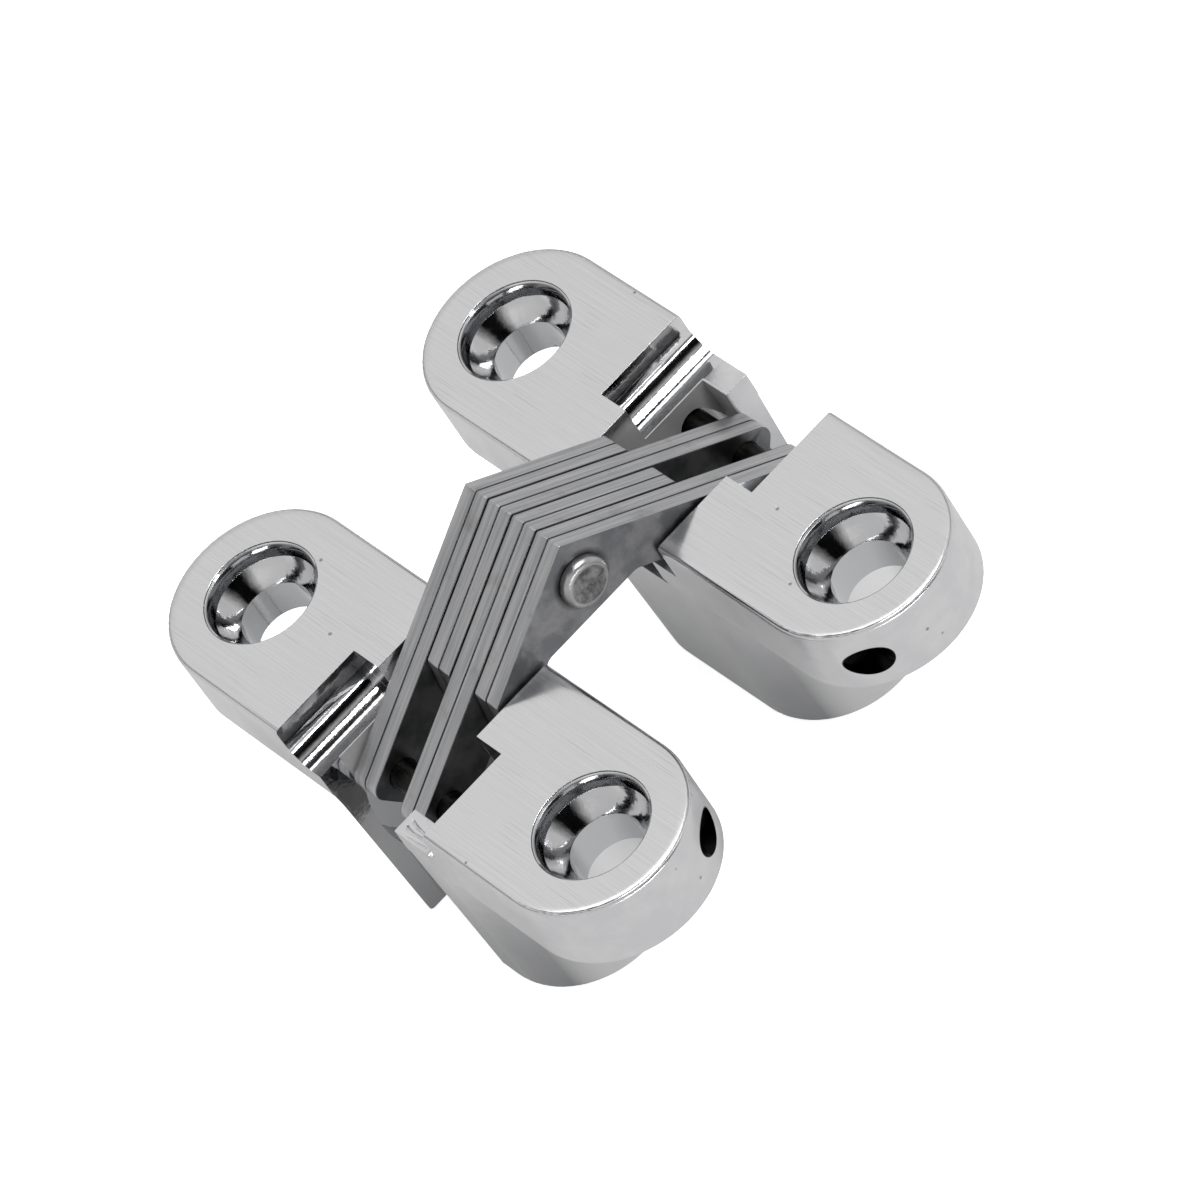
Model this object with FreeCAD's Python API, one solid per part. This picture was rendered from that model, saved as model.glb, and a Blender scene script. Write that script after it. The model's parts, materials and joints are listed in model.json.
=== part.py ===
import FreeCAD, Part

import math
import os

from FreeCAD import Vector

# Concealed door hinge: two cast bodies that are let into the door and the frame,
# joined by two sets of steel links that cross at one centre rivet.
# All sizes are in millimetres. The origin is the centre of body A's face, midway
# between its two screw holes. +X runs along the body, +Y points to body B and
# +Z out of the face. The hinge is drawn open by 180 degrees. Body B is the same
# casting as body A, turned half a turn about Z.

# Cast body: the flange that shows when the door is open
flange_length = 45.0
flange_width = 13.0
flange_thick = 5.0
flange_edge_round = 0.3
body_spacing = 22.6       # centre line of body A to centre line of body B

# Cast body: the deep part below the flange, with draft for the mould
belly_depth = 18.4        # face to bottom
belly_straight = 8.2      # length of its straight sides
belly_top_width = 12.9
belly_foot_width = 12.0
belly_foot_round = 0.3      # lower edge all round
belly_root_round = 1.6      # concave corner where its ends meet the flange
belly_root_steps = 4
belly_bite = 0.5          # how far its solid starts inside the flange

# Screw holes
screw_spacing = 32.6
screw_head_dia = 7.4      # mouth of the countersink, inside its chamfer
screw_rim_chamfer = 0.15
screw_land_depth = 1.1    # steep wall above the cone
screw_land_foot_dia = 7.0
screw_cone_depth = 1.3
screw_bore_dia = 4.8

# Link plates: four pairs side by side, centred on the body
plate_thick = 1.07
pair_seam = 0.05          # between the two plates of a pair
pair_gap = 0.13           # between one pair and the next
pair_count = 4
stack_clearance = 0.27    # plates to the walls of the pocket

# Link outline, seen along X
apex_height = 5.9
apex_flat = 0.1           # small flat that breaks the corner at the apex
arm_slope = 33.3          # degrees below level, on both sides
arm_width = 3.4
arm_corner = 0.9          # corners at the end of the long arm
long_arm_past_pin = 1.9
web_height = -0.25        # lower edge between the two arms
web_round = 0.8
short_arm_bend = 2.45     # where its outer edge turns down, from the far centre line
short_arm_end = 1.85      # its upright end, from the far centre line
bend_round = 0.3
foot_round = 2.05         # metal round the pivot pin
foot_corner = 2.0

# Pins and the rivet
rivet_height = 2.6        # centre of the rivet above the face
rivet_dia = 2.0
rivet_head_dia = 3.4
rivet_head_thick = 0.75
rivet_head_rim = 0.30     # straight part of the head's edge
rivet_head_flat_dia = 2.6
rivet_head_bulge = 0.2    # share by which its rounded shoulder stands out
pivot_inset = 4.25        # pivot pin from the centre line, towards the other body
pivot_depth = 2.75        # pivot pin below the face
pivot_dia = 1.9
pivot_mouth_dia = 2.3     # bore mouth at each end of the flange
pivot_mouth_length = 3.2
slide_inset = -2.8        # sliding pin from the centre line when open
slide_edge = 1.7          # sliding pin from the outer edge of the arm
slide_dia = 2.0
slide_hold = 1.5          # how far the sliding pin goes into each cheek
slide_end_play = 0.15
pin_clearance = 0.03      # radial, pins and rivet in the plates and the bodies
slot_clearance = 0.17     # each side of the sliding pin
pin_leaves_after = 40.0   # degrees about the rivet that the long arm's notch follows
closed_gap = 2.8          # face to face when the door is shut

# Pocket in each body
inner_wall = 1.4          # wall left below the windows, at the foot
outer_wall = 1.3          # wall left beside the outlet, at the foot
window_deep = 5.6         # window for the pivoting links, below the face
window_shallow = 3.0      # window above the links that pass over, below the face
window_clearance = 0.1
outlet_clearance = 0.3    # end of the open outlet to the last plate in it
notch_half = 7.25         # wide notch in the outer half, from the centre
notch_reach = 0.40        # how far the notch goes past the centre line
notch_depth = 3.0
notch_round = 1.8         # concave corner at the foot of each end
far = 60.0                # longer than the hinge, for cuts that run right through


def polar(angle):
    return Vector(0, math.cos(angle), math.sin(angle))


def turned(v, angle):
    c = math.cos(angle)
    s = math.sin(angle)
    return Vector(v.x, v.y * c - v.z * s, v.y * s + v.z * c)


def box(x0, x1, y0, y1, z0, z1):
    return Part.makeBox(x1 - x0, y1 - y0, z1 - z0, Vector(x0, y0, z0))


def rod(dia, x0, x1, centre):
    return Part.makeCylinder(dia / 2, x1 - x0, Vector(x0, centre.y, centre.z), Vector(1, 0, 0))


def half_turn(shape):
    # Body B's pieces are those of body A, turned about the middle of the hinge.
    other = shape.copy()
    other.rotate(Vector(0, body_spacing / 2, 0), Vector(0, 0, 1), 180)
    return other


def stadium(length, width, z):
    # A wire with straight sides and full round ends.
    r = width / 2
    s = length / 2 - r
    a = Vector(-s, r, z)
    b = Vector(s, r, z)
    c = Vector(s, -r, z)
    d = Vector(-s, -r, z)
    edges = [
        Part.makeLine(a, b),
        Part.Arc(b, Vector(s + r, 0, z), c).toShape(),
        Part.makeLine(c, d),
        Part.Arc(d, Vector(-s - r, 0, z), a).toShape(),
    ]
    return Part.Wire(edges)


def rounded_wire(points, rounds):
    # A closed outline whose corners are tangent arcs.
    edges = []
    ends = []
    count = len(points)
    for i in range(count):
        here = points[i]
        if rounds[i] == 0:
            ends.append((here, None, here))
            continue
        to_last = points[i - 1] - here
        to_next = points[(i + 1) % count] - here
        to_last.normalize()
        to_next.normalize()
        half_angle = to_last.getAngle(to_next) / 2
        back = rounds[i] / math.tan(half_angle)
        middle = to_last + to_next
        middle.normalize()
        reach = rounds[i] / math.sin(half_angle) - rounds[i]
        ends.append((here + to_last * back, here + middle * reach, here + to_next * back))
    for i in range(count):
        start, mid, end = ends[i]
        if mid is not None:
            edges.append(Part.Arc(start, mid, end).toShape())
        edges.append(Part.makeLine(end, ends[(i + 1) % count][0]))
    return Part.Wire(edges)


# Where the pins are, in the plane of the links

slope = math.radians(arm_slope)
apex = Vector(0, body_spacing / 2, apex_height)
rivet_at = Vector(0, body_spacing / 2, rivet_height)
pivot_at = Vector(0, pivot_inset, -pivot_depth)
pivot_far = Vector(0, body_spacing - pivot_inset, -pivot_depth)
arm_down = Vector(0, -math.cos(slope), -math.sin(slope))
arm_in = Vector(0, math.sin(slope), -math.cos(slope))


def on_arm(y, edge):
    # The point of the long arm at this y that lies edge below its outer side.
    along = (y - apex.y - arm_in.y * edge) / arm_down.y
    return apex + arm_down * along + arm_in * edge


slide_at = on_arm(slide_inset, slide_edge)

# How far the links turn: the rivet swings about the pivot pin until the faces are
# closed_gap apart, and each body then has turned by half of 180 degrees.
rivet_arm = rivet_at - pivot_at
rivet_start = math.atan2(rivet_arm.z, rivet_arm.y)
rivet_end = math.pi - math.asin((closed_gap / 2 + pivot_depth) / rivet_arm.Length)
close_angle = rivet_end - rivet_start
cross_ratio = 2 - math.pi / close_angle


def slide_path(angle):
    # The sliding pin's place when the links have turned by angle at the pivot pin.
    rivet_now = pivot_at + turned(rivet_arm, angle)
    return rivet_now + turned(slide_at - rivet_at, angle * (1 - cross_ratio))


def arc_slot(start, middle, end, half_width, x0, x1):
    # A slot along the arc through three points, with a round end at each limit.
    centre = Part.Arc(start, middle, end).toShape().Curve.Center
    sides = []
    for offset in (half_width, -half_width):
        sides.append([p + (p - centre).normalize() * offset for p in (start, middle, end)])
    far_side, near_side = sides
    caps = []
    for p, q in ((start, middle), (end, middle)):
        outward = (p - centre).cross(Vector(1, 0, 0))
        outward.normalize()
        if outward.dot(q - p) > 0:
            outward = outward * -1
        caps.append(p + outward * half_width)
    edges = [
        Part.Arc(*far_side).toShape(),
        Part.Arc(far_side[2], caps[1], near_side[2]).toShape(),
        Part.Arc(*reversed(near_side)).toShape(),
        Part.Arc(near_side[0], caps[0], far_side[0]).toShape(),
    ]
    face = Part.Face(Part.Wire(edges))
    face.translate(Vector(x0, 0, 0))
    return face.extrude(Vector(x1 - x0, 0, 0))


# The stack of plates along X

stack_width = pair_count * (2 * plate_thick + pair_seam) + (pair_count - 1) * pair_gap
plate_starts = []
x_next = -stack_width / 2
for pair in range(pair_count):
    for gap_after in (pair_seam, pair_gap):
        plate_starts.append(x_next)
        x_next += plate_thick + gap_after
pocket_half = stack_width / 2 + stack_clearance
window_left = plate_starts[2] - window_clearance
outlet_right = plate_starts[5] + plate_thick + outlet_clearance


def belly_section(z, flare):
    # The deep part's outline at height z. Its width follows the draft, and flare
    # lengthens it at both ends.
    share = (z + flange_thick) / (flange_thick - belly_depth)
    width = belly_top_width + (belly_foot_width - belly_top_width) * share
    return stadium(belly_straight + 2 * flare + width, width, z)


def cast_belly():
    # The deep part grows out of the flange through a concave quarter round at its ends.
    sections = [belly_section(-flange_thick + belly_bite, belly_root_round)]
    for step in range(belly_root_steps + 1):
        angle = math.pi / 2 * step / belly_root_steps
        flare = belly_root_round * (1 - math.sin(angle))
        drop = belly_root_round * (1 - math.cos(angle))
        sections.append(belly_section(-flange_thick - drop, flare))
    sections.append(belly_section(-belly_depth, 0))
    belly = Part.makeLoft(sections, True, True)
    low_edges = [e for e in belly.Edges if e.BoundBox.ZMax < -belly_depth + 0.01]
    return belly.makeFillet(belly_foot_round, low_edges)


def cast_body():
    # One zinc casting: flange, deep part, pocket, notch, bores and slots.
    flange = Part.Face(stadium(flange_length, flange_width, 0)).extrude(Vector(0, 0, -flange_thick))
    face_edges = [e for e in flange.Edges if e.BoundBox.ZMin > -0.01]
    flange = flange.makeFillet(flange_edge_round, face_edges)
    body = flange.fuse(cast_belly())

    inner_face = belly_foot_width / 2 - inner_wall
    outer_face = -belly_foot_width / 2 + outer_wall
    pocket = box(-pocket_half, pocket_half, outer_face, inner_face, -far, far)
    outlet = box(-pocket_half, outlet_right, -far, inner_face, -far, far)
    passing_window = box(-pocket_half, pocket_half, 0, far, -window_shallow, far)
    pivot_window = box(window_left, pocket_half, 0, far, -window_deep, far)
    for room in (pocket, outlet, passing_window, pivot_window, rivet_notch()):
        body = body.cut(room)

    for side in (-1, 1):
        body = body.cut(screw_hole(side * screw_spacing / 2))
        mouth_start = flange_length / 2 - pivot_mouth_length
        ends = sorted((side * mouth_start, side * far))
        body = body.cut(rod(pivot_mouth_dia, ends[0], ends[1], pivot_at))
    body = body.cut(rod(pivot_dia + 2 * pin_clearance, -far, far, pivot_at))

    slot_half = pocket_half + slide_hold + slide_end_play
    path = [slide_path(close_angle * share) for share in (0, 2 / 3, 1)]
    slot = arc_slot(*path, slide_dia / 2 + slot_clearance, -slot_half, slot_half)
    return body.cut(slot).Solids[0]


def rivet_notch():
    # Room for the heads of the rivet: upright ends, concave corners, level floor.
    points = [
        Vector(-notch_half, -flange_width, far),
        Vector(-notch_half, -flange_width, -notch_depth),
        Vector(notch_half, -flange_width, -notch_depth),
        Vector(notch_half, -flange_width, far),
    ]
    face = Part.Face(rounded_wire(points, [0, notch_round, notch_round, 0]))
    return face.extrude(Vector(0, notch_reach + flange_width, 0))


def screw_hole(x):
    # A broken rim, a steep land for the edge of the screw head, a cone, then the bore.
    r_head = screw_head_dia / 2
    r_land = screw_land_foot_dia / 2
    r_bore = screw_bore_dia / 2
    down = Vector(0, 0, -1)
    face_point = Vector(x, 0, 0)
    rim = Part.makeCone(r_head + screw_rim_chamfer, r_head, screw_rim_chamfer, face_point, down)
    land = Part.makeCone(r_head, r_land, screw_land_depth, face_point, down)
    cone = Part.makeCone(r_land, r_bore, screw_cone_depth, face_point + down * screw_land_depth, down)
    bore = Part.makeCylinder(r_bore, far, face_point, down)
    return rim.fuse([land, cone, bore])


def link_outline():
    # Two arms that meet at the apex. The left arm is the long one, and the right
    # one turns down into a foot that holds the pivot pin.
    half_flat = Vector(0, apex_flat / 2, 0)
    flat_drop = Vector(0, 0, -apex_flat / 2 * math.tan(slope))
    long_tip = apex + arm_down * ((slide_at - apex).dot(arm_down) + long_arm_past_pin)
    arm_low = apex + arm_in * arm_width
    web_start = arm_low + arm_down * ((web_height - arm_low.z) / arm_down.z)
    foot_left = pivot_far.y - foot_round
    foot_low = pivot_far.z - foot_round
    foot_right = body_spacing - short_arm_end
    bend_y = body_spacing - short_arm_bend
    bend_z = apex.z - (bend_y - apex.y) * math.tan(slope)
    corners = [
        (apex - half_flat + flat_drop, 0),
        (long_tip, arm_corner),
        (long_tip + arm_in * arm_width, arm_corner),
        (web_start, web_round),
        (Vector(0, foot_left, web_height), web_round),
        (Vector(0, foot_left, foot_low), foot_corner),
        (Vector(0, foot_right, foot_low), foot_corner),
        (Vector(0, bend_y, bend_z), bend_round),
        (apex + half_flat + flat_drop, 0),
    ]
    return rounded_wire([point for point, _ in corners], [size for _, size in corners])


def pin_clearance_notch(x0, x1):
    # The long arm straddles the pivot pin when open, and leaves it along an arc
    # about the rivet as the hinge closes.
    start = math.atan2(-rivet_arm.z, -rivet_arm.y)
    sweep = math.radians(pin_leaves_after)
    path = [rivet_at + polar(start + sweep * share) * rivet_arm.Length for share in (0, 0.5, 1)]
    return arc_slot(*path, pivot_dia / 2 + slot_clearance, x0, x1)


def link_plate(index):
    # Pairs one and three reach deep into body A, pairs two and four into body B.
    if (index // 2) % 2 == 1:
        return half_turn(link_plate(2 * pair_count - 1 - index))
    x0 = plate_starts[index]
    x1 = x0 + plate_thick
    plate = Part.Face(link_outline()).extrude(Vector(plate_thick, 0, 0))
    plate.translate(Vector(x0, 0, 0))
    plate = plate.cut(pin_clearance_notch(x0 - plate_thick, x1 + plate_thick))
    holes = ((rivet_at, rivet_dia), (slide_at, slide_dia), (pivot_far, pivot_dia))
    for centre, dia in holes:
        plate = plate.cut(rod(dia + 2 * pin_clearance, x0 - plate_thick, x1 + plate_thick, centre))
    return plate


def centre_rivet():
    # Shank through all the plates, with a low domed head pressed flat on each end.
    r = rivet_head_dia / 2
    flat = rivet_head_flat_dia / 2
    x0 = stack_width / 2 + pin_clearance
    x1 = x0 + rivet_head_thick
    base = Vector(x0, 0, 0)
    edge_low = Vector(x0, r, 0)
    edge_high = Vector(x0 + rivet_head_rim, r, 0)
    top_edge = Vector(x1, flat, 0)
    bulge = (edge_high + top_edge) * 0.5 + Vector(r - flat, x1 - edge_high.x, 0) * rivet_head_bulge
    top = Vector(x1, 0, 0)
    edges = [
        Part.makeLine(base, edge_low),
        Part.makeLine(edge_low, edge_high),
        Part.Arc(edge_high, bulge, top_edge).toShape(),
        Part.makeLine(top_edge, top),
        Part.makeLine(top, base),
    ]
    head = Part.Face(Part.Wire(edges)).revolve(Vector(0, 0, 0), Vector(1, 0, 0), 360)
    head.translate(rivet_at)
    other = head.mirror(Vector(0, 0, 0), Vector(1, 0, 0))
    shank = rod(rivet_dia, -x0, x0, rivet_at)
    return shank.fuse([head, other]).removeSplitter()


def pivot_pin():
    # Pressed right through the flange, and short of the mouth at each end.
    end = flange_length / 2 - pivot_mouth_length
    return rod(pivot_dia, -end, end, pivot_at)


def slide_pin():
    end = pocket_half + slide_hold
    return rod(slide_dia, -end, end, slide_at)


def write(name, shape):
    shape.exportStep(os.path.join("parts", name + ".step"))


def main():
    os.makedirs("parts", exist_ok=True)
    body = cast_body()
    write("body_a", body)
    write("body_b", half_turn(body))
    for index in range(2 * pair_count):
        write("link_plate_%d" % (index + 1), link_plate(index))
    write("centre_rivet", centre_rivet())
    write("pivot_pin_a", pivot_pin())
    write("pivot_pin_b", half_turn(pivot_pin()))
    write("slide_pin_a", slide_pin())
    write("slide_pin_b", half_turn(slide_pin()))
    print("links turn %.2f degrees, cross ratio %.5f" % (math.degrees(close_angle), cross_ratio))


main()
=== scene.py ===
import json
import math

import bmesh
import bpy
import numpy as np
from mathutils import Matrix, Vector

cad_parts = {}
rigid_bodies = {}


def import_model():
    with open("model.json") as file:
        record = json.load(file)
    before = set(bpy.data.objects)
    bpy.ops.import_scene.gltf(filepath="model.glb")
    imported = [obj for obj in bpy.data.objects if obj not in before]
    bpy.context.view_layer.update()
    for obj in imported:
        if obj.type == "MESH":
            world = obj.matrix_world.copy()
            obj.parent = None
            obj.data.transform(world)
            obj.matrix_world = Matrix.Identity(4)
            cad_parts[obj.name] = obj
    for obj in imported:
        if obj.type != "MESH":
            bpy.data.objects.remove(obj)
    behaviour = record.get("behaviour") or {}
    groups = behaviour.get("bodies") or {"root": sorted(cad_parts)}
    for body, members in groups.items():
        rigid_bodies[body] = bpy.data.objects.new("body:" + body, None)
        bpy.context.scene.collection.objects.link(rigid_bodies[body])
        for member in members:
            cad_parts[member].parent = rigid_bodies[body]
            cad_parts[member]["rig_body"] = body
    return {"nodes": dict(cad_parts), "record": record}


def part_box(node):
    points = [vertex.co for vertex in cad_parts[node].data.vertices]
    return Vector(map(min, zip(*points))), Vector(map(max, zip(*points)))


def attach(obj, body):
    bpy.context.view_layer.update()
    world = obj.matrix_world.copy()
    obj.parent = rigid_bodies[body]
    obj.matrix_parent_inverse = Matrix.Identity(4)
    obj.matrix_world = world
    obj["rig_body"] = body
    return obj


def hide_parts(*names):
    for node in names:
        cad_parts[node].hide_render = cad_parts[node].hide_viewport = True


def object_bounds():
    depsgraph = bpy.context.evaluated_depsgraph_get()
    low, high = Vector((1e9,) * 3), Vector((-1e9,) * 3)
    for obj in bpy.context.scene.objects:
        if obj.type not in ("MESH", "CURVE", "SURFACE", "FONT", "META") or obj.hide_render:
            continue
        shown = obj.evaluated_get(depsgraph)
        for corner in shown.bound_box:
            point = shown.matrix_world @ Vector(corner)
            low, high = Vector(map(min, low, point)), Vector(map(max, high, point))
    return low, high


# Concealed door hinge, open by 180 degrees: two plated castings and the steel links between them.

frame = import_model()
cadLow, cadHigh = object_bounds()
mm = 0.001
print("frame loaded:", len(frame["nodes"]), "nodes")


# helpers

def hexColour(text):
    # An sRGB hex value as linear red, green, blue and alpha.
    channels = [int(text[i:i + 2], 16) / 255 for i in (1, 3, 5)]
    return tuple(c / 12.92 if c <= 0.04045 else ((c + 0.055) / 1.055) ** 2.4 for c in channels) + (1.0,)


def addNode(tree, kind, inputs=(), output=0, **settings):
    # One node with its settings, and the socket of one of its outputs back. An input takes a plain
    # value or another node's output; inputs is a list from the first socket on, or a dictionary.
    node = tree.nodes.new(kind)
    for name, value in settings.items():
        setattr(node, name, value)
    given = inputs.items() if isinstance(inputs, dict) else enumerate(inputs)
    for key, value in given:
        if isinstance(value, bpy.types.NodeSocket):
            tree.links.new(value, node.inputs[key])
        else:
            node.inputs[key].default_value = value
    return node.outputs[output] if node.outputs else None


def newMaterial(name):
    made = bpy.data.materials.new(name)
    made.use_nodes = True
    made.node_tree.nodes.clear()
    return made, made.node_tree


def stretchedNoise(tree, coords, grain, detail=4.0, roughness=0.6):
    # Noise whose grains measure so many mm along X, Y and Z.
    scale = [1 / (size * mm) for size in grain]
    placed = addNode(tree, "ShaderNodeMapping", {"Vector": coords, "Scale": scale})
    return addNode(tree, "ShaderNodeTexNoise", {
        "Vector": placed, "Scale": 1.0, "Detail": detail, "Roughness": roughness})


def allOf(tree, *masks):
    # 1 where every mask is 1: their product.
    together = masks[0]
    for mask in masks[1:]:
        together = addNode(tree, "ShaderNodeMath", (together, mask), operation="MULTIPLY")
    return together


def within(tree, value, low, high, soft):
    # 1 between low and high, falling to 0 over soft on each side.
    rise = addNode(tree, "ShaderNodeMapRange", (value, low - soft, low))
    fall = addNode(tree, "ShaderNodeMapRange", (value, high, high + soft, 1.0, 0.0))
    return allOf(tree, rise, fall)


def painted(tree, ground, *layers):
    # A ground colour with layers of (share, colour) over it, in their order.
    top = hexColour(ground) if isinstance(ground, str) else ground
    for share, colour in layers:
        over = hexColour(colour) if isinstance(colour, str) else colour
        top = addNode(tree, "ShaderNodeMix", {0: share, 6: top, 7: over}, 2, data_type="RGBA")
    return top


def fromAxis(tree, coords, centre):
    # Distance from the line along X that goes through centre.
    beside = addNode(tree, "ShaderNodeVectorMath", {0: coords, 1: (0, 1, 1)}, operation="MULTIPLY")
    return addNode(tree, "ShaderNodeVectorMath", {0: beside, 1: (0, centre.y, centre.z)},
                   "Value", operation="DISTANCE")


def metalSurface(tree, sockets):
    # The shader with which a metal's material ends.
    shader = addNode(tree, "ShaderNodeBsdfPrincipled", sockets)
    addNode(tree, "ShaderNodeOutputMaterial", {"Surface": shader})


noiseRange = (0.3, 0.7)            # nearly all values of a noise lie between these


# measures taken from the frame, in metres

bodyLow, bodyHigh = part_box("body_a")
bodyBLow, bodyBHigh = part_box("body_b")
bodyCentreB = (bodyBLow.y + bodyBHigh.y) / 2
footZ = bodyLow.z
rimRadius = (bodyHigh.y - bodyLow.y) / 2       # round ends of the flange

screws = next(mount for mount in frame["record"]["mounts"] if mount["name"] == "screws_a")
screwHalf = screws["dims"]["spacing_x_mm"] / 2 * mm
flangeZ = screws["pos_m"][2]

stackLow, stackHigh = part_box("link_plate_1")[0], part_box("link_plate_8")[1]
rivetLow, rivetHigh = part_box("centre_rivet")
rivetCentre = (rivetLow + rivetHigh) / 2
rivetRadius = (rivetHigh.y - rivetLow.y) / 2
pivotLow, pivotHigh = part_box("pivot_pin_a")
pivotCentre = (pivotLow + pivotHigh) / 2


# materials

castingPlaces = {                  # mm, in the casting's own frame
    "faceFrom": -0.06,             # depths between which the brushed face fades in
    "faceTo": -0.01,
    "holeRadius": 3.86,            # broken rim of a screw hole
    "landRadius": 3.44,            # foot of the steep wall below it
    "landTop": -0.15,
    "landFoot": -1.08,
    "screwBoreRadius": 2.42,
    "screwBoreTop": -2.2,
    "pinBoreRadius": 1.19,         # just outside the wide mouth of the pivot pin's bore
    "pocketRoom": 0.27,            # links to the pocket's cheeks
    "pocketSpan": (-4.75, 4.7),
    "greaseFade": (-1.6, -0.5),    # depths between which the pocket's grease ends
    "notchEnd": 0.4,
    "notchHalf": 7.25,
    "roundFrom": 8.0,              # where the round ends of the deep part start
    "roundFade": 1.5,
    "deepHalf": 12.5,              # half length of the deep part
    "soft": 0.1,                   # over which one finish passes into the next
}

nickel = {
    "faceColour": "#E6E6E7",       # nickel over zinc, the face rubbed after plating
    "faceDark": "#DDDDDE",
    "deepColour": "#E2E2E3",       # as plated, in the holes and troughs and on the sides
    "deepDark": "#DADADC",
    "boreWall": "#C6C7C9",         # of the screw holes
    "endHighlight": "#F0F0F0",        # painted highlight on the round ends of the deep part, so that they show bright through the screw holes
    "landShade": "#727375",       # painted shade on the steep wall under the rim of each screw hole, darker than the cone
    "landShadeShare": 0.8,
    "footShade": "#A6A7A9",         # painted shade, darker towards the foot, but not at its round ends
    "pocketColour": "#B4B4B4",     # thin plate and old grease inside the pocket
    "pocketGrease": 0.8,           # share of the pocket's wall that the grease covers
    "pinBoreShade": "#141414",       # painted shade, near black, inside the pivot pin's bore
    "pitColour": "#9C9DA0",
    "faceRoughness": (0.1445, 0.204),   # lowest and highest
    "deepRoughness": (0.06, 0.12),
    "sideRoughness": 0.27,
    "pocketRoughness": 0.45,
    "scratchGrain": (9.0, 0.10, 0.4),   # mm, drawn coarser than the real abrasive so that it shows
    "scratchSpread": (0.32, 0.66),      # values of the noise between which dark turns to light
    "wornGrain": (14.0, 0.9, 2.0),      # broad bands of the rubbing, in the face's roughness
    "scoreGrain": (7.0, 0.12, 0.4),     # the fewer deep scratches
    "scoreSpread": (0.60, 0.70),
    "scoreColour": "#8E8F91",
    "scoreShare": 0.20,
    "scoreGroups": (5.0, 2.5, 2.5),     # size of the groups in which they lie
    "groupSpread": (0.48, 0.60),
    "mouldGrain": (3.0, 3.0, 3.0),      # clouds left by the mould
    "mouldSpread": (0.42, 0.62),
    "mirrorSpread": (0.35, 0.70),       # the same, in the roughness of the mirror plate
    "peelGrain": (0.45, 0.45, 0.45),    # mould grains under the bright plate
    "pitSpacing": 1.6,                  # mm
    "pitSize": (0.05, 0.10),            # shares of the spacing
    "pitsFrom": 0.90,                   # share of the cells that stay without a pit
    "peelBump": (0.16, 0.05),           # strength, and depth in mm
    "scratchBump": (0.08, 0.02),
    "pitBump": (0.22, 0.05),
    "rimBand": 0.70,                    # mm, where polishing has let the face fall away to its rim
    "rimFall": 0.08,                    # mm, by how much
}


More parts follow.
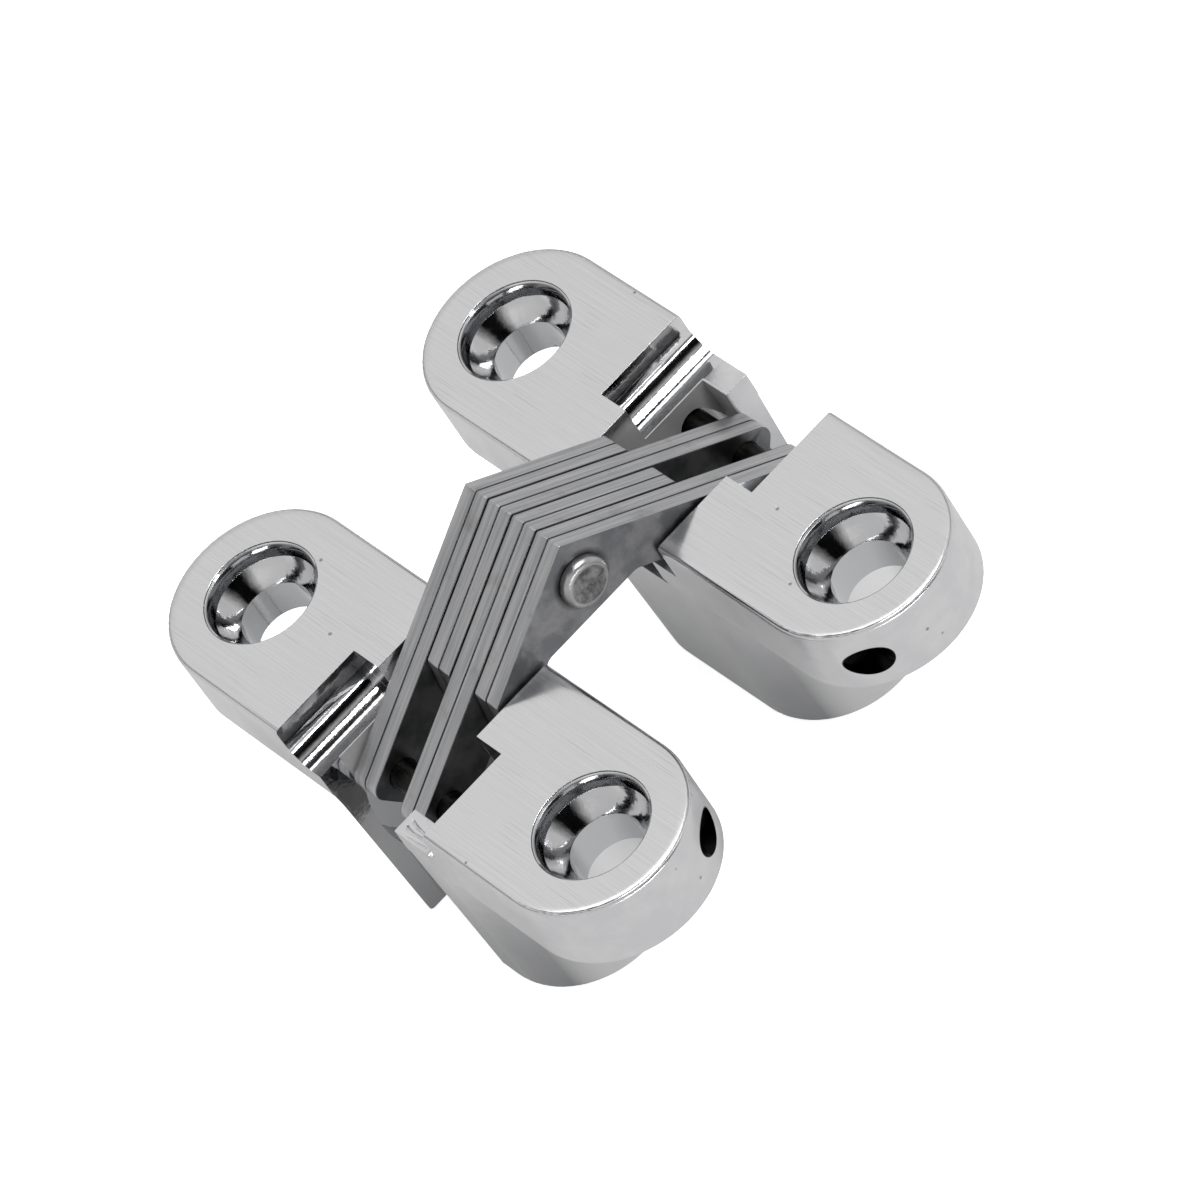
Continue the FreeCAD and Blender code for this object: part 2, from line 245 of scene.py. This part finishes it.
def placesOfCasting(tree, coords):
    # Masks for the parts of a casting, worked out from its measures.
    sizes = castingPlaces
    soft = sizes["soft"] * mm
    place = addNode(tree, "ShaderNodeSeparateXYZ", [coords]).node.outputs
    across, depth = place["Y"], place["Z"]
    along = addNode(tree, "ShaderNodeMath", [place["X"]], operation="ABSOLUTE")
    middle = addNode(tree, "ShaderNodeCombineXYZ", (along, across))
    fromHole = addNode(tree, "ShaderNodeVectorMath", {0: middle, 1: (screwHalf, 0, 0)},
                       "Value", operation="DISTANCE")
    fromBore = fromAxis(tree, coords, pivotCentre)
    masks = {}
    masks["face"] = addNode(tree, "ShaderNodeMapRange", (
        depth, sizes["faceFrom"] * mm, sizes["faceTo"] * mm))

    holeRadius, landRadius = sizes["holeRadius"] * mm, sizes["landRadius"] * mm
    masks["hole"] = addNode(tree, "ShaderNodeMapRange", (
        fromHole, holeRadius, holeRadius + soft, 1.0, 0.0))
    masks["land"] = allOf(tree, within(tree, fromHole, landRadius, holeRadius, 0.3 * soft),
                          within(tree, depth, sizes["landFoot"] * mm, sizes["landTop"] * mm, 0.5 * soft))
    screwBore = sizes["screwBoreRadius"] * mm
    masks["screwBore"] = allOf(
        tree, addNode(tree, "ShaderNodeMapRange", (fromHole, screwBore, screwBore + 0.8 * soft, 1.0, 0.0)),
        addNode(tree, "ShaderNodeMath", (depth, sizes["screwBoreTop"] * mm), operation="LESS_THAN"))
    pinBore = sizes["pinBoreRadius"] * mm
    masks["pinBore"] = addNode(tree, "ShaderNodeMapRange", (
        fromBore, pinBore, pinBore + 0.3 * soft, 1.0, 0.0))

    pocketHalf = stackHigh.x + sizes["pocketRoom"] * mm
    pocketLow, pocketHigh = np.array(sizes["pocketSpan"]) * mm
    greaseFrom, greaseTo = np.array(sizes["greaseFade"]) * mm
    masks["pocket"] = allOf(
        tree, within(tree, across, pocketLow, pocketHigh, soft),
        addNode(tree, "ShaderNodeMapRange", (
            along, pocketHalf + 0.2 * soft, pocketHalf + 1.2 * soft, 1.0, 0.0)),
        addNode(tree, "ShaderNodeMapRange", (depth, greaseFrom, greaseTo, 1.0, 0.0)))
    notchEnd = sizes["notchEnd"] * mm
    masks["notch"] = allOf(
        tree, addNode(tree, "ShaderNodeMapRange", (across, notchEnd, notchEnd + soft, 1.0, 0.0)),
        within(tree, along, pocketHalf, sizes["notchHalf"] * mm, soft))

    roundFrom = sizes["roundFrom"] * mm
    roundTo = roundFrom + sizes["roundFade"] * mm
    # Painted shade: darker towards the foot, but not at the round ends.
    masks["foot"] = allOf(
        tree, addNode(tree, "ShaderNodeMapRange", (depth, footZ, flangeZ, 1.0, 0.0)),
        addNode(tree, "ShaderNodeMapRange", (along, roundFrom, roundTo, 1.0, 0.0)))
    # Painted highlight on the round ends below the flange.
    masks["end"] = allOf(
        tree, addNode(tree, "ShaderNodeMapRange", (along, roundFrom, roundTo)),
        addNode(tree, "ShaderNodeMath", (depth, flangeZ - 0.5 * soft), operation="LESS_THAN"),
        addNode(tree, "ShaderNodeMath", (along, sizes["deepHalf"] * mm), operation="LESS_THAN"))

    # The flange's outline lies rimRadius from its middle line, which ends rimRadius short of its tips.
    past = addNode(tree, "ShaderNodeMath", (along, bodyHigh.x - rimRadius), operation="SUBTRACT")
    past = addNode(tree, "ShaderNodeMath", (past, 0.0), operation="MAXIMUM")
    beside = addNode(tree, "ShaderNodeCombineXYZ", (past, across))
    fromMiddle = addNode(tree, "ShaderNodeVectorMath", [beside], "Value", operation="LENGTH")
    band = nickel["rimBand"] * mm
    masks["rim"] = addNode(tree, "ShaderNodeMapRange", (fromMiddle, rimRadius - band, rimRadius + band),
                           interpolation_type="SMOOTHSTEP")
    return masks


def nickelPlatedZinc(name, centreY, turn):
    # Zinc die casting, bright nickel plated, its face then brushed along the length. The brushed face
    # scatters light softly; the holes and troughs keep a mirror plate with the mould's waves.
    # centreY and turn bring the pattern into the casting's own frame.
    made, tree = newMaterial(name)
    whole = addNode(tree, "ShaderNodeTexCoord", output="Object")
    coords = addNode(tree, "ShaderNodeMapping", {
        "Vector": whole, "Location": (0, centreY, 0), "Rotation": (0, 0, turn)})
    masks = placesOfCasting(tree, coords)

    scratch = stretchedNoise(tree, coords, nickel["scratchGrain"], 3.0, 0.55)
    score = stretchedNoise(tree, coords, nickel["scoreGrain"], 1.0, 0.5)
    groups = stretchedNoise(tree, coords, nickel["scoreGroups"], 1.0)
    worn = stretchedNoise(tree, coords, nickel["wornGrain"], 2.0)
    mould = stretchedNoise(tree, coords, nickel["mouldGrain"], 5.0, 0.65)
    peel = stretchedNoise(tree, coords, nickel["peelGrain"], 2.0, 0.5)
    cells = addNode(tree, "ShaderNodeTexVoronoi", {
        "Vector": coords, "Scale": 1 / (nickel["pitSpacing"] * mm), "Randomness": 1.0}).node.outputs
    chosen = addNode(tree, "ShaderNodeSeparateColor", [cells["Color"]])
    pit = allOf(tree, addNode(tree, "ShaderNodeMapRange", (cells["Distance"], *nickel["pitSize"], 1.0, 0.0)),
                addNode(tree, "ShaderNodeMath", (chosen, nickel["pitsFrom"]), operation="GREATER_THAN"))

    light = addNode(tree, "ShaderNodeMapRange", (scratch, *nickel["scratchSpread"]))
    scored = allOf(
        tree, addNode(tree, "ShaderNodeMapRange", (groups, *nickel["groupSpread"])),
        addNode(tree, "ShaderNodeMapRange", (score, *nickel["scoreSpread"], 0.0, nickel["scoreShare"])))
    faceShade = painted(tree, nickel["faceDark"], (light, nickel["faceColour"]),
                        (scored, nickel["scoreColour"]))
    cloud = addNode(tree, "ShaderNodeMapRange", (mould, *nickel["mouldSpread"]))
    # Painted light: shade towards the foot, on the steep wall under each screw hole's rim and in the pivot
    # pin's bore, and a highlight on the round ends below the flange.
    colour = painted(
        tree, nickel["deepDark"], (cloud, nickel["deepColour"]), (masks["foot"], nickel["footShade"]),
        (masks["face"], faceShade), (masks["pocket"], nickel["pocketColour"]),
        (allOf(tree, masks["land"], nickel["landShadeShare"]), nickel["landShade"]),
        (masks["screwBore"], nickel["boreWall"]), (masks["end"], nickel["endHighlight"]),
        (masks["pinBore"], nickel["pinBoreShade"]), (pit, nickel["pitColour"]))

    mirror = addNode(tree, "ShaderNodeMath", (masks["notch"], masks["hole"]), operation="MAXIMUM")
    mirrorRough = addNode(tree, "ShaderNodeMapRange", (
        mould, *nickel["mirrorSpread"], *nickel["deepRoughness"]))
    faceRough = addNode(tree, "ShaderNodeMapRange", (worn, *noiseRange, *nickel["faceRoughness"]))
    rough = nickel["sideRoughness"]
    for share, over in ((mirror, mirrorRough), (masks["pocket"], nickel["pocketRoughness"]),
                        (masks["face"], faceRough)):
        rough = addNode(tree, "ShaderNodeMix", {0: share, 2: rough, 3: over}, data_type="FLOAT")

    offFace = addNode(tree, "ShaderNodeMath", (1.0, masks["face"]), operation="SUBTRACT")
    insideRim = addNode(tree, "ShaderNodeMath", (1.0, masks["rim"]), operation="SUBTRACT")
    reliefs = (    # height, strength, depth in mm, sunk or not
        (allOf(tree, peel, offFace), *nickel["peelBump"], False),
        (allOf(tree, scratch, masks["face"]), *nickel["scratchBump"], False),
        (pit, *nickel["pitBump"], True),
        (allOf(tree, insideRim, masks["face"]), 1.0, nickel["rimFall"] * 2, False),
    )
    below = {}
    for height, strength, deep, sunk in reliefs:
        below["Normal"] = addNode(tree, "ShaderNodeBump", {
            **below, "Height": height, "Strength": strength, "Distance": deep * mm}, invert=sunk)
    grease = allOf(tree, masks["pocket"], nickel["pocketGrease"])
    metal = addNode(tree, "ShaderNodeMath", (1.0, grease), operation="SUBTRACT")
    metalSurface(tree, {"Base Color": colour, "Metallic": metal, "Roughness": rough, **below})
    return made


links = {
    "edgeLight": "#C2C2C3",        # cold-rolled steel, edges ground after blanking
    "edgeDark": "#A0A1A3",
    "flatLight": "#9A9A9C",        # flat sides keep the rolled skin
    "flatDark": "#7B7C7F",
    "stain": "#6B6863",
    "stainShare": 0.4,
    "seam": "#3C3C3D",             # painted shade where one plate meets the next
    "seamWidth": 0.07,             # mm
    "seamCore": 0.4,               # share of that width which is fully dark
    "seamInside": 0.1,             # mm, an end this near to the stack's own end is no seam
    "shift": 3.7,                  # mm between the patterns of one link and the next
    "ringWidth": 0.45,             # mm, the same painted shade round the rivet's head
    "ringShare": 0.9,
    "outerFade": (-0.03, -0.005),  # mm from the stack's end, between which the ring fades in
    "roughness": (0.288, 0.45),    # lowest and highest
    "streakGrain": (0.16, 7.0, 7.0),    # mm, along the grinding
    "streakSpread": (0.33, 0.67),
    "cloudGrain": (2.2, 2.2, 2.2),
    "cloudSpread": (0.40, 0.62),
    "stainSpread": (0.58, 0.76),
    "fineGrain": (0.25, 0.25, 0.25),
    "fineShare": 0.35,             # of the fine grain in the relief
    "bump": (0.35, 0.03),          # strength, and depth in mm
    "flatFrom": 0.7,               # share of X in a normal, from which the face is a flat side
}


def groundSteel(name, seams, shift):
    # Blanked mild steel links, barrel ground: satin, with streaks along each arm and faint oil stains.
    # Painted shade darkens the edge where a plate meets the next one; seams holds those places along X, in
    # metres, and shift moves the pattern along X, in mm, so that no two links look the same.
    made, tree = newMaterial(name)
    raw = addNode(tree, "ShaderNodeTexCoord", output="Object")
    coords = addNode(tree, "ShaderNodeMapping", {"Vector": raw, "Location": (shift * mm, 0, 0)})
    streak = stretchedNoise(tree, coords, links["streakGrain"])
    cloud = stretchedNoise(tree, coords, links["cloudGrain"], 5.0)
    fine = stretchedNoise(tree, coords, links["fineGrain"], 2.0)
    place = addNode(tree, "ShaderNodeSeparateXYZ", [raw], "X")
    facing = addNode(tree, "ShaderNodeNewGeometry", output="True Normal")
    sideways = addNode(tree, "ShaderNodeSeparateXYZ", [facing], "X")
    sideways = addNode(tree, "ShaderNodeMath", [sideways], operation="ABSOLUTE")
    onFlat = addNode(tree, "ShaderNodeMath", (sideways, links["flatFrom"]), operation="GREATER_THAN")
    onEdge = addNode(tree, "ShaderNodeMath", (1.0, onFlat), operation="SUBTRACT")

    bright = addNode(tree, "ShaderNodeMapRange", (streak, *links["streakSpread"]))
    skin = addNode(tree, "ShaderNodeMapRange", (cloud, *links["cloudSpread"]))
    stained = addNode(tree, "ShaderNodeMapRange", (cloud, *links["stainSpread"], 0.0, links["stainShare"]))
    fadeFrom, fadeTo = stackHigh.x + np.array(links["outerFade"]) * mm
    outermost = addNode(tree, "ShaderNodeMapRange", (place, fadeFrom, fadeTo))
    ring = addNode(tree, "ShaderNodeMapRange", (
        fromAxis(tree, raw, rivetCentre), rivetRadius, rivetRadius + links["ringWidth"] * mm,
        links["ringShare"], 0.0))
    colour = painted(
        tree, links["edgeDark"], (bright, links["edgeLight"]),
        (onFlat, painted(tree, links["flatDark"], (skin, links["flatLight"]))),
        (stained, links["stain"]), (allOf(tree, ring, outermost), links["seam"]))
    # Painted shade along each seam between two plates.
    for seam in seams:
        away = addNode(tree, "ShaderNodeMath", (place, seam), operation="SUBTRACT")
        away = addNode(tree, "ShaderNodeMath", [away], operation="ABSOLUTE")
        inSeamShade = addNode(tree, "ShaderNodeMapRange", (
            away, links["seamWidth"] * links["seamCore"] * mm, links["seamWidth"] * mm, 1.0, 0.0))
        colour = painted(tree, colour, (allOf(tree, inSeamShade, onEdge), links["seam"]))

    rough = addNode(tree, "ShaderNodeMapRange", (cloud, *noiseRange, *links["roughness"]))
    height = addNode(tree, "ShaderNodeMath", (fine, links["fineShare"], streak), operation="MULTIPLY_ADD")
    strength, deep = links["bump"]
    bump = addNode(tree, "ShaderNodeBump", {"Strength": strength, "Distance": deep * mm, "Height": height})
    metalSurface(tree, {"Base Color": colour, "Metallic": 1.0, "Roughness": rough, "Normal": bump})
    return made


rivet = {
    "rim": "#B6B6B6",              # the rim rolled over smooth by the heading punch, and painted lighter as a highlight
    "light": "#9C9C9C",
    "dark": "#5C5C5D",
    "flatRadius": 1.3,             # mm
    "rimFrom": -0.08,              # mm from that radius, between which the rim's finish fades in
    "rimTo": 0.05,
    "mottleGrain": (0.55, 0.55, 0.55),
    "mottleSpread": (0.38, 0.64),
    "roughness": (0.24, 0.408),
    "bump": (0.45, 0.05),          # strength, and depth in mm
}


def coldHeadedSteel():
    # Drawn steel wire, headed cold: bright, with mottled marks where the punch pressed it.
    made, tree = newMaterial("coldHeadedPinSteel")
    coords = addNode(tree, "ShaderNodeTexCoord", output="Object")
    mottle = stretchedNoise(tree, coords, rivet["mottleGrain"], 6.0, 0.62)
    pressed = addNode(tree, "ShaderNodeMapRange", (mottle, *rivet["mottleSpread"]))
    onRim = addNode(tree, "ShaderNodeMapRange", (
        fromAxis(tree, coords, rivetCentre),
        (rivet["flatRadius"] + rivet["rimFrom"]) * mm, (rivet["flatRadius"] + rivet["rimTo"]) * mm))
    colour = painted(tree, rivet["dark"], (pressed, rivet["light"]), (onRim, rivet["rim"]))
    rough = addNode(tree, "ShaderNodeMapRange", (mottle, *noiseRange, *rivet["roughness"]))
    strength, deep = rivet["bump"]
    bump = addNode(tree, "ShaderNodeBump", {"Strength": strength, "Distance": deep * mm, "Height": mottle})
    metalSurface(tree, {"Base Color": colour, "Metallic": 1.0, "Roughness": rough, "Normal": bump})
    return made


pinGreaseAndShade = {
    # Painted shade: the pins are coloured near black, as they sit in shadow inside the castings.
    "dark": "#151515",
    "light": "#2E2D2B",            # where the grease is thin
    "filmGrain": (1.2, 0.5, 0.5),  # mm
    "filmSpread": (0.4, 0.6),
    "roughness": (0.35, 0.55),
}


def greasedShadedSteel():
    # Drawn steel pins that turn and slide in the castings: near black, partly grease and partly painted
    # shade, with a dull sheen.
    made, tree = newMaterial("oiledShadedPinSteel")
    coords = addNode(tree, "ShaderNodeTexCoord", output="Object")
    film = stretchedNoise(tree, coords, pinGreaseAndShade["filmGrain"])
    thin = addNode(tree, "ShaderNodeMapRange", (film, *pinGreaseAndShade["filmSpread"]))
    rough = addNode(tree, "ShaderNodeMapRange", (film, *noiseRange, *pinGreaseAndShade["roughness"]))
    colour = painted(tree, pinGreaseAndShade["dark"], (thin, pinGreaseAndShade["light"]))
    metalSurface(tree, {"Base Color": colour, "Metallic": 1.0, "Roughness": rough})
    return made


castingFinishes = {
    "body_a": nickelPlatedZinc("brushedNickelPlatedZincA", 0.0, 0.0),
    "body_b": nickelPlatedZinc("brushedNickelPlatedZincB", bodyCentreB, math.pi),
}
linkFinishes = {}
inset = links["seamInside"] * mm
for number in range(1, 9):
    plateLow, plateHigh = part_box("link_plate_%d" % number)
    seams = [x for x in (plateLow.x, plateHigh.x) if stackLow.x + inset < x < stackHigh.x - inset]
    linkFinishes[number] = groundSteel("groundSteelLink%d" % number, seams, links["shift"] * (number - 1))
rivetFinish = coldHeadedSteel()
hiddenPinGreaseAndShade = greasedShadedSteel()
print("materials made")


# pieces: each CAD node's own mesh, merged, with its sharp edges broken as tumbling leaves them

edges = {
    "castings": 0.06,              # mm, width of the round on each sharp edge
    "links": 0.03,
    "rivet": 0.03,
    "mergeWithin": 0.001,          # mm, points nearer than this are one
    "flatWithin": 0.4,             # degrees, faces that differ less are one
    "sharpFrom": 28,               # degrees
}


def brokenEdges(nodeName, pieceName, width, material):
    # The node's triangles merged at their points, flat regions made one face, and each
    # sharp edge given a round of this width in mm.
    source = frame["nodes"][nodeName]
    work = bmesh.new()
    work.from_mesh(source.data)
    bmesh.ops.remove_doubles(work, verts=work.verts, dist=edges["mergeWithin"] * mm)
    bmesh.ops.dissolve_limit(work, angle_limit=math.radians(edges["flatWithin"]),
                             verts=work.verts, edges=work.edges)
    mesh = bpy.data.meshes.new(pieceName)
    work.to_mesh(mesh)
    work.free()
    mesh.shade_smooth()
    mesh.materials.append(material)
    piece = bpy.data.objects.new(pieceName, mesh)
    bpy.context.scene.collection.objects.link(piece)
    bevel = piece.modifiers.new("brokenEdge", "BEVEL")
    bevel.width = width * mm
    bevel.segments = 2
    bevel.limit_method = "ANGLE"
    bevel.angle_limit = math.radians(edges["sharpFrom"])
    bevel.use_clamp_overlap = True
    flats = piece.modifiers.new("flatNormals", "WEIGHTED_NORMAL")
    flats.mode = "FACE_AREA"
    flats.weight = 100
    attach(piece, source["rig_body"])
    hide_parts(nodeName)


for letter in ("a", "b"):
    brokenEdges("body_" + letter, "casting_" + letter, edges["castings"],
                castingFinishes["body_" + letter])
brokenEdges("centre_rivet", "rivet_headed", edges["rivet"], rivetFinish)
for number, finishOfLink in linkFinishes.items():
    brokenEdges("link_plate_%d" % number, "link_%d" % number, edges["links"], finishOfLink)

for nodeName in ("pivot_pin_a", "pivot_pin_b", "slide_pin_a", "slide_pin_b"):
    for slotOfNode in frame["nodes"][nodeName].material_slots:
        slotOfNode.material = hiddenPinGreaseAndShade


burr = {
    "from": (2.98, -6.42, -3.0),   # mm, at the tip where the outlet leaves the notch's floor
    "to": (5.9, -5.1, -3.0),
    "height": 0.30,
    "sunk": 0.03,                  # how far its border lies below the floor
    "folds": 2.4,
    "lean": 1.1,                   # by which it gets lower away from the tip
    "taper": 0.55,                 # share of its width lost along its length
    "rows": 48,
    "columns": 64,
    "thickness": 0.12,
}


def stakedBurr():
    # Metal thrown up by the staking punch at the tip of body A: a height field over a grid, where
    # u runs along X and v along Y. Its height is a sharp fold, 1 - |sin|, bent by a slow wave, times
    # a bell that falls to nothing at the border and leans to the tip.
    start, end = np.array(burr["from"]), np.array(burr["to"])
    u, v = np.meshgrid(np.linspace(0, 1, burr["columns"]), np.linspace(0, 1, burr["rows"]))
    wave = 0.18 * np.sin(5.0 * u) + 0.06 * np.sin(13.0 * u - 3.0 * v)
    fold = 1 - np.abs(np.sin(math.pi * (burr["folds"] * (v - 0.25 * u) + wave)))
    crumple = 0.8 + 0.2 * np.sin(9.0 * u + 4.0 * v)
    bell = (16 * u * (1 - u) * v * (1 - v)) ** 0.5 * (1.25 - burr["lean"] * u)
    z = start[2] - burr["sunk"] + (burr["height"] + burr["sunk"]) * bell * fold * crumple
    x = start[0] + (end[0] - start[0]) * u
    y = start[1] + (end[1] - start[1]) * v * (1 - burr["taper"] * u)
    points = np.stack([x, y, z], axis=-1).reshape(-1, 3) * mm
    first = (np.arange(burr["rows"] - 1)[:, None] * burr["columns"] + np.arange(burr["columns"] - 1)).ravel()
    faces = np.stack([first, first + 1, first + burr["columns"] + 1, first + burr["columns"]], axis=-1)
    mesh = bpy.data.meshes.new("staked_burr")
    mesh.from_pydata(points.tolist(), [], faces.tolist())
    mesh.shade_smooth()
    mesh.materials.append(castingFinishes["body_a"])
    piece = bpy.data.objects.new("staked_burr", mesh)
    bpy.context.scene.collection.objects.link(piece)
    wall = piece.modifiers.new("wall", "SOLIDIFY")
    wall.thickness = burr["thickness"] * mm
    wall.offset = -1
    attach(piece, frame["nodes"]["body_a"]["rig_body"])


stakedBurr()
print("pieces made")


# floor and room

board = {
    "half": 1.5,                   # m
    "below": 0.02,                 # mm under the hinge's feet
    "colour": "#F2F2F2",
    "ownLight": 0.75,              # that the camera sees, also through gaps
    "colourInMetal": "#A6A6A6",    # metal reflects the board as a greyer card
    "ownLightInMetal": 0.30,
}


def mattWhiteBoard():
    # Matt white card. It looks white to the camera and keeps the hinge's shadow, and the metal
    # reflects it darker, so that the hinge's sides stay grey.
    made, tree = newMaterial("mattWhiteBoard")
    ray = addNode(tree, "ShaderNodeLightPath").node.outputs
    seen = addNode(tree, "ShaderNodeMath", (ray["Is Camera Ray"], ray["Is Transmission Ray"]),
                   operation="MAXIMUM")
    own = addNode(tree, "ShaderNodeMath", (
        allOf(tree, seen, board["ownLight"]), allOf(tree, ray["Is Glossy Ray"], board["ownLightInMetal"])),
        operation="MAXIMUM")
    paint = addNode(tree, "ShaderNodeBsdfDiffuse", {
        "Color": painted(tree, board["colourInMetal"], (seen, board["colour"]))})
    glow = addNode(tree, "ShaderNodeEmission", {"Strength": own})
    both = addNode(tree, "ShaderNodeAddShader", (paint, glow))
    addNode(tree, "ShaderNodeOutputMaterial", {"Surface": both})
    return made


half, floorZ = board["half"], cadLow.z - board["below"] * mm
corners = [(-half, -half, floorZ), (half, -half, floorZ), (half, half, floorZ), (-half, half, floorZ)]
floorMesh = bpy.data.meshes.new("floor")
floorMesh.from_pydata(corners, [], [(0, 1, 2, 3)])
floorMesh.materials.append(mattWhiteBoard())
floor = bpy.data.objects.new("floor", floorMesh)
bpy.context.scene.collection.objects.link(floor)

room = {
    # Greys by height above the horizon, 0 at the horizon and 1 overhead.
    "greys": [(0.0, "#E0E0E0"), (0.12, "#EEEEEE"), (0.30, "#C8C8C8"), (0.50, "#CCCCCC"),
              (0.60, "#DDDDDD"), (0.80, "#E6E6E6"), (0.89, "#404040"), (1.0, "#181818")],
    "darkPatch": (0.88, 0.20, 0.42),    # direction of an unlit patch of the room
    "darkColour": "#050505",
    "darkFade": (0.80, 0.97),           # cosines of the angle to it, between which it fades in
}


def studioWorld():
    # A grey room whose light depends on height above the horizon, and is plain white to the camera.
    world = bpy.data.worlds.new("studio")
    world.use_nodes = True
    tree = world.node_tree
    tree.nodes.clear()
    direction = addNode(tree, "ShaderNodeTexCoord", output="Generated")
    height = addNode(tree, "ShaderNodeSeparateXYZ", [direction], "Z")
    walls = addNode(tree, "ShaderNodeValToRGB", [height])
    greys = walls.node.color_ramp.elements
    greys.remove(greys[1])
    for number, (place, colour) in enumerate(room["greys"]):
        grey = greys.new(place) if number else greys[0]
        grey.color = hexColour(colour)
    towards = addNode(tree, "ShaderNodeVectorMath", {
        0: direction, 1: Vector(room["darkPatch"]).normalized()}, "Value", operation="DOT_PRODUCT")
    inPatch = addNode(tree, "ShaderNodeMapRange", (towards, *room["darkFade"]))
    seen = addNode(tree, "ShaderNodeLightPath", output="Is Camera Ray")
    colour = painted(tree, walls, (inPatch, room["darkColour"]), (seen, "#FFFFFF"))
    light = addNode(tree, "ShaderNodeBackground", {"Color": colour, "Strength": 1.0})
    addNode(tree, "ShaderNodeOutputWorld", {"Surface": light})
    return world


bpy.context.scene.world = studioWorld()


# lamps and camera

lamps = {
    # name: (azimuth, elevation, distance, width, height, power), in degrees, m and W.
    # Azimuth 0 is along -Y and 90 along +X.
    "keySoftbox": (150, 66, 0.55, 0.25, 0.25, 2.2),
    "sideStrip": (84, 13, 0.60, 0.50, 0.05, 0.8),
    "rimSoftbox": (246, 67, 0.55, 0.34, 0.12, 0.22),
}
middleOfHinge = (cadLow + cadHigh) / 2
for lampName, (azimuth, elevation, distance, width, height, power) in lamps.items():
    data = bpy.data.lights.new(lampName, "AREA")
    data.shape = "RECTANGLE"
    data.size = width
    data.size_y = height
    data.energy = power
    lamp = bpy.data.objects.new(lampName, data)
    a, e = math.radians(azimuth), math.radians(elevation)
    outwards = Vector((math.sin(a) * math.cos(e), -math.cos(a) * math.cos(e), math.sin(e)))
    lamp.location = middleOfHinge + outwards * distance
    lamp.rotation_euler = outwards.to_track_quat("Z", "Y").to_euler()
    bpy.context.scene.collection.objects.link(lamp)

view = {
    "place": (359.219, -86.984, 382.479),          # mm, solved from the screw holes and flange edges
    "right": (0.616464, 0.680161, -0.396678),
    "down": (0.416397, -0.709195, -0.568907),
    "forward": (-0.668270, 0.185536, -0.720411),
    "focalPixels": 8941.9,                         # for an image 1200 pixels wide
    "imageWidth": 1200,
    "sensorWidth": 36.0,
    "clip": (0.01, 10),                            # m
}
cameraData = bpy.data.cameras.new("camera")
cameraData.sensor_width = view["sensorWidth"]
cameraData.lens = view["focalPixels"] / view["imageWidth"] * view["sensorWidth"]
cameraData.clip_start, cameraData.clip_end = view["clip"]
camera = bpy.data.objects.new("camera", cameraData)
axes = Matrix((view["right"], -Vector(view["down"]), -Vector(view["forward"]))).transposed().to_4x4()
camera.matrix_world = Matrix.Translation(Vector(view["place"]) * mm) @ axes
bpy.context.scene.collection.objects.link(camera)
bpy.context.scene.camera = camera
bpy.context.scene.view_settings.view_transform = "Standard"
print("stage, lights and camera made")
